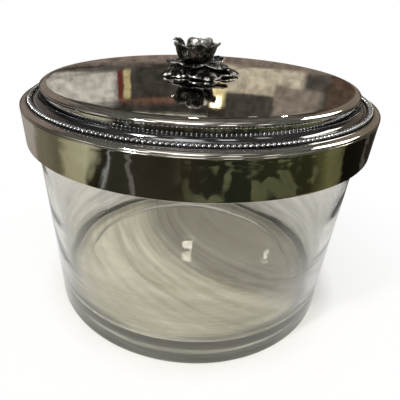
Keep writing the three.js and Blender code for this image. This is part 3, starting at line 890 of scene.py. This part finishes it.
def make_studio_tent():
    """A dim warm tent round the jar with soft paler and darker panels, seen only in reflections.

    A panel behind the jar or a painted lamp reflection before it is two soft edges across (x), two
    up (z) and a colour. x, y and z are the unit direction from the top of the dome.
    """
    rows = 24
    polar = np.linspace(0.02, 0.53 * np.pi, rows)[:, None]
    angle = full_turn(STUDIO_SEGMENTS)[None, :]
    flat = TENT_RADIUS * np.sin(polar)
    height = DOME_TOP + TENT_RADIUS * np.cos(polar)
    points = round_axis(flat, angle, height)
    faces = [grid_faces(rows, STUDIO_SEGMENTS, wrap_columns=True)]
    mat, glow = new_card("tent")
    source = add(mat, "ShaderNodeTexCoord")
    from_lid = add(mat, "ShaderNodeVectorMath", operation="SUBTRACT")
    from_lid.inputs[1].default_value = (0, 0, DOME_TOP)
    link(mat, source.outputs["Object"], from_lid.inputs[0])
    unit = add(mat, "ShaderNodeVectorMath", operation="NORMALIZE")
    link(mat, from_lid.outputs["Vector"], unit.inputs[0])
    split = add(mat, "ShaderNodeSeparateXYZ")
    link(mat, unit.outputs["Vector"], split.inputs[0])
    x, y, z = split.outputs
    cloth = noise(mat, unit.outputs["Vector"], 7, detail=4, roughness=0.55)
    share = spread(mat, cloth, 0.4, 0.68, 0, 1)
    colour = mix_colours(mat, share, (0.030, 0.027, 0.022), (0.11, 0.10, 0.085))
    behind = spread(mat, y, 0.2, 0.4, 0, 1)
    panels = (
        ((-0.50, -0.48, 0.50, 0.55), (-0.10, -0.05, 0.11, 0.14), (0.21, 0.165, 0.135)),
        ((-0.90, -0.80, -0.46, -0.43), (0.05, 0.10, 0.55, 0.60), (0.24, 0.20, 0.175)),
        ((-0.46, -0.42, -0.25, -0.22), (0.15, 0.17, 0.30, 0.32), (0.54, 0.51, 0.46)),
        ((-0.22, -0.215, -0.20, -0.195), (0.15, 0.16, 0.28, 0.30), (0.50, 0.42, 0.22)),
        ((-0.19, -0.18, -0.08, -0.07), (0.14, 0.15, 0.25, 0.26), (0.05, 0.046, 0.038)),
        ((-0.235, -0.232, -0.222, -0.218), (0.15, 0.16, 0.29, 0.30), (0.15, 0.035, 0.03)),
        ((-0.235, -0.23, -0.06, -0.04), (0.292, 0.296, 0.306, 0.31), (0.17, 0.09, 0.06)),
        ((-0.20, -0.18, 0.03, 0.04), (0.348, 0.354, 0.378, 0.384), (0.46, 0.46, 0.38)),
        ((0.04, 0.05, 0.29, 0.31), (0.11, 0.13, 0.255, 0.265), (0.52, 0.46, 0.35)),
        ((0.03, 0.045, 0.075, 0.09), (0.17, 0.20, 0.30, 0.32), (0.95, 0.82, 0.42)),
        ((0.040, 0.050, 0.066, 0.076), (0.282, 0.292, 0.31, 0.32), (9.0, 7.6, 5.0)),
        ((0.09, 0.10, 0.20, 0.205), (0.285, 0.29, 0.38, 0.39), (0.06, 0.055, 0.046)),
        ((0.22, 0.23, 0.34, 0.36), (0.20, 0.22, 0.37, 0.39), (0.24, 0.20, 0.165)),
        ((0.16, 0.165, 0.185, 0.19), (0.35, 0.355, 0.368, 0.372), (0.95, 0.93, 0.85)),
        ((0.36, 0.37, 0.44, 0.47), (0.05, 0.10, 0.42, 0.44), (0.09, 0.06, 0.042)),
        ((0.45, 0.48, 0.80, 0.90), (0.05, 0.10, 0.55, 0.60), (0.22, 0.18, 0.14)),
    )
    front = spread(mat, y, -0.1, 0.0, 1, 0)
    # Painted lamp reflections: bright glowing patches before the jar that light nothing.
    painted_lamp_reflections = (
        ((-0.60, -0.56, -0.40, -0.36), (0.50, 0.54, 0.68, 0.72), (4.0, 3.95, 3.9)),
        ((-0.20, -0.16, 0.06, 0.10), (0.64, 0.70, 0.84, 0.88), (2.4, 2.4, 2.45)),
        ((0.22, 0.25, 0.38, 0.41), (0.52, 0.55, 0.70, 0.73), (2.6, 2.6, 2.6)),
        ((-0.34, -0.30, -0.12, -0.08), (0.26, 0.30, 0.44, 0.48), (0.50, 0.47, 0.41)),
        ((0.05, 0.09, 0.24, 0.28), (0.28, 0.32, 0.42, 0.46), (0.42, 0.41, 0.40)),
        ((0.60, 0.62, 0.70, 0.72), (0.25, 0.30, 0.50, 0.55), (1.4, 1.35, 1.2)),
        ((-0.93, -0.91, -0.84, -0.82), (0.18, 0.22, 0.36, 0.40), (1.2, 1.15, 1.1)),
    )
    high = spread(mat, z, 0.48, 0.6, 0, 1)
    overhead = combine(mat, high, spread(mat, y, -0.1, 0.15, 1, 0), "MAXIMUM")
    bands = spread(mat, noise(mat, unit.outputs["Vector"], 9, detail=3), 0.35, 0.65, 0, 1)
    ceiling = mix_colours(mat, bands, (0.05, 0.047, 0.042), (0.17, 0.165, 0.15))
    colour = mix_colours(mat, overhead, colour, ceiling)
    zenith = product(mat, spread(mat, z, 0.90, 0.95, 0, 1), bands)
    colour = mix_colours(mat, zenith, colour, (0.66, 0.63, 0.59))
    placed = [(panel, behind) for panel in panels] + [(lamp, front) for lamp in painted_lamp_reflections]
    for (across, height, tone), side in placed:
        wide = between(mat, x, *across)
        tall = between(mat, z, *height)
        share = product(mat, product(mat, wide, tall), side)
        colour = mix_colours(mat, share, colour, tone)
    link(mat, colour, glow.inputs["Color"])
    weave = noise(mat, unit.outputs["Vector"], 45, detail=4, roughness=0.65)
    link(mat, spread(mat, weave, 0.35, 0.65, 0.62, 1.38), glow.inputs["Strength"])
    only_reflected(make_object("studio_tent", points, faces, mat))


def make_dark_table():
    """A dark olive ring on the floor round the jar with paler sides, seen only in reflections.

    The stops are tones round the jar, from the left (0) by the front (0.25), the right (0.5) and
    the back (0.75) to the left again (1).
    """
    r = np.array(TABLE_RINGS)[:, None]
    angle = full_turn(STUDIO_SEGMENTS)[None, :]
    points = round_axis(r, angle, 1 * mm)
    faces = [grid_faces(len(TABLE_RINGS), STUDIO_SEGMENTS, wrap_columns=True)]
    mat, glow = new_card("dark_table")
    vector = coordinates(mat)
    split = add(mat, "ShaderNodeSeparateXYZ")
    link(mat, vector, split.inputs[0])
    turned = combine(mat, split.outputs[1], split.outputs[0], "ARCTAN2")
    share = spread(mat, turned, -math.pi, math.pi, 0, 1)
    wavy = noise(mat, vector, 16, detail=2, distortion=0.8)
    share = combine(mat, share, spread(mat, wavy, 0, 1, -0.02, 0.02))
    ramp = add(mat, "ShaderNodeValToRGB")
    stops = (
        (0.000, (0.19, 0.17, 0.13)), (0.030, (0.17, 0.155, 0.11)), (0.050, (0.48, 0.465, 0.33)),
        (0.095, (0.55, 0.54, 0.40)), (0.108, (0.035, 0.032, 0.018)), (0.124, (0.015, 0.014, 0.01)),
        (0.129, (0.30, 0.31, 0.32)), (0.133, (0.03, 0.028, 0.02)), (0.157, (0.035, 0.032, 0.022)),
        (0.162, (0.20, 0.195, 0.19)), (0.168, (0.036, 0.030, 0.022)), (0.25, (0.028, 0.024, 0.016)),
        (0.30, (0.020, 0.023, 0.015)), (0.42, (0.035, 0.034, 0.016)), (0.445, (0.09, 0.09, 0.04)),
        (0.462, (0.16, 0.16, 0.075)), (0.486, (0.12, 0.12, 0.06)), (0.498, (0.008, 0.006, 0.004)),
        (0.555, (0.010, 0.008, 0.006)), (0.565, (0.10, 0.095, 0.085)), (0.575, (0.02, 0.016, 0.012)),
        (0.640, (0.06, 0.055, 0.04)), (0.820, (0.05, 0.04, 0.03)), (0.875, (0.36, 0.33, 0.30)),
        (0.945, (0.42, 0.38, 0.35)), (0.970, (0.20, 0.18, 0.14)), (1.000, (0.19, 0.17, 0.13)),
    )
    while len(ramp.color_ramp.elements) < len(stops):
        ramp.color_ramp.elements.new(0.5)
    for element, (place, tone) in zip(ramp.color_ramp.elements, stops):
        element.position = place
        element.color = (*tone, 1)
    link(mat, share, ramp.inputs["Fac"])
    blobs = noise(mat, vector, 13, detail=2, distortion=1.0)
    front = between(mat, share, 0.22, 0.28, 0.43, 0.45)
    share = product(mat, spread(mat, blobs, 0.50, 0.56, 0, 1), front)
    colour = mix_colours(mat, share, ramp.outputs["Color"], (0.13, 0.133, 0.08))
    near = spread(mat, radius_of(mat), 0.120, 0.195, 1, 0)
    link(mat, mix_colours(mat, near, colour, (0.92, 0.91, 0.88)), glow.inputs["Color"])
    only_reflected(make_object("dark_table", points, faces, mat))


def make_world():
    """Even pale light; camera, glossy and transmission rays see plain white."""
    world = bpy.data.worlds.new("studio")
    bpy.context.scene.world = world
    world.use_nodes = True
    background = world.node_tree.nodes["Background"]
    background.inputs["Color"].default_value = (1, 1, 1, 1)
    level = spread(world, seen_share(world), 0, 1, WORLD_LIGHT, 1.0)
    link(world, level, background.inputs["Strength"])


def area_light(name, azimuth, elevation, distance, size, power, colour):
    """A soft box aimed at the middle of the jar, with angles in degrees and power in watts.

    Azimuth 0 is in front of the jar, and 90 on its right.
    """
    light = bpy.data.lights.new(name, "AREA")
    light.energy, light.size, light.color = power, size, colour
    box = bpy.data.objects.new(name, light)
    bpy.context.scene.collection.objects.link(box)
    a, e = math.radians(azimuth), math.radians(elevation)
    back = Vector((math.sin(a) * math.cos(e), -math.cos(a) * math.cos(e), math.sin(e)))
    box.location = back * distance + Vector((0, 0, JAR_TOP / 2))
    box.rotation_euler = back.to_track_quat("Z", "Y").to_euler()


def make_camera():
    """A pinhole in front of the jar and above its lid, looking down, slightly turned and rolled."""
    pitch, yaw, roll = (math.radians(d) for d in (CAMERA_PITCH, CAMERA_YAW, CAMERA_ROLL))
    flat = math.cos(pitch)
    forward = Vector((math.sin(yaw) * flat, math.cos(yaw) * flat, -math.sin(pitch)))
    right = Vector((math.cos(yaw), -math.sin(yaw), 0))
    up = right.cross(forward)
    rolled_right = math.cos(roll) * right + math.sin(roll) * up
    rolled_up = -math.sin(roll) * right + math.cos(roll) * up
    data = bpy.data.cameras.new("camera")
    data.sensor_width = SENSOR
    data.lens = SENSOR * FOCAL_SHARE
    data.shift_x, data.shift_y = CAMERA_SHIFT
    data.clip_start = 0.01
    camera = bpy.data.objects.new("camera", data)
    bpy.context.scene.collection.objects.link(camera)
    matrix = Matrix((rolled_right, rolled_up, -forward)).transposed().to_4x4()
    height = JAR_TOP + CAMERA_HEIGHT * LID_RADIUS
    matrix.translation = Vector((0, -CAMERA_DISTANCE * LID_RADIUS, height))
    camera.matrix_world = matrix
    bpy.context.scene.camera = camera


def dress():
    """Makes every piece, lays it over its CAD node and gives the kept nodes their finish."""
    dome_silver = silver_plate(
        "dome_silver", bright=(0.80, 0.77, 0.72), tarnish_and_painted_shade=(0.50, 0.45, 0.38),
        tarnish_range=(0.45, 0.75), rough_range=(0.015, 0.075), wave=0.2,
    )
    band_silver = silver_plate(
        "band_silver", bright=(0.76, 0.74, 0.66), tarnish_and_painted_shade=(0.48, 0.45, 0.34),
        tarnish_range=(0.4, 0.7), rough_range=(0.015, 0.06), wave=0.8,
    )
    bead_silver = worn_silver(
        "bead_silver", dark=(0.045, 0.045, 0.047), pale=(0.44, 0.445, 0.45),
        patchiness=0.2, rough_range=(0.34, 0.24), relief=0.15,
    )
    cast = worn_silver(
        "cast_silver", dark=(0.016, 0.015, 0.013), pale=(0.97, 0.95, 0.93),
        patchiness=0.4, rough_range=(0.34, 0.24), relief=1.0,
    )
    brass = plain_brass()
    pieces = (
        (jar_piece(), "jar", "glass_jar", "clear_glass"),
        (lid_piece(dome_silver), "lid", "lid_cover", "silver_plate"),
        (band_piece(band_silver), "lid", "skirt_band", "silver_plate"),
        (bead_piece(bead_silver), "lid", "beaded_wire", "beaded_silver"),
        (rosette("rose_lower_leaves", LOWER_LEAVES, leaf_part, cast),
         "lid", "lower_leaves", "antique_silver"),
        (rosette("rose_upper_leaves", UPPER_LEAVES, leaf_part, cast),
         "lid", "upper_leaves", "antique_silver"),
        (rosette("rose_outer_petals", OUTER_PETALS, petal_part, cast),
         "lid", "outer_petals", "antique_silver"),
        (rosette("rose_inner_petals", INNER_PETALS, petal_part, cast),
         "lid", "inner_petals", "antique_silver"),
        (bud_piece(cast), "lid", "rose_bud", "antique_silver"),
    )
    for piece, body, node, slot in pieces:
        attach(piece, body)
        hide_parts(node)
    kept = {
        "finial_collar": cast, "finial_stud": brass, "finial_nut": brass, "finial_washer": brass,
    }
    for node, mat in kept.items():
        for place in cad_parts[node].material_slots:
            place.material = mat


make_camera()
dress()
make_floor()
make_studio_tent()
make_dark_table()
make_world()
area_light("key", -45, 47.5, 0.95, 0.08, 5.2, (1.0, 0.975, 0.935))
area_light("top", -20, 70, 1.0, 0.4, 0.8, (1.0, 0.985, 0.96))
area_light("fill", 112, 38, 1.1, 0.4, 3.0, (1.0, 0.95, 0.86))
area_light("glint", 180.4, 33.5, 0.876, 0.032, 0.25, (1.0, 0.98, 0.94))
area_light("small_glint", 158.8, 32.7, 0.887, 0.016, 0.07, (1.0, 0.98, 0.94))

bpy.context.scene.view_settings.view_transform = "Standard"
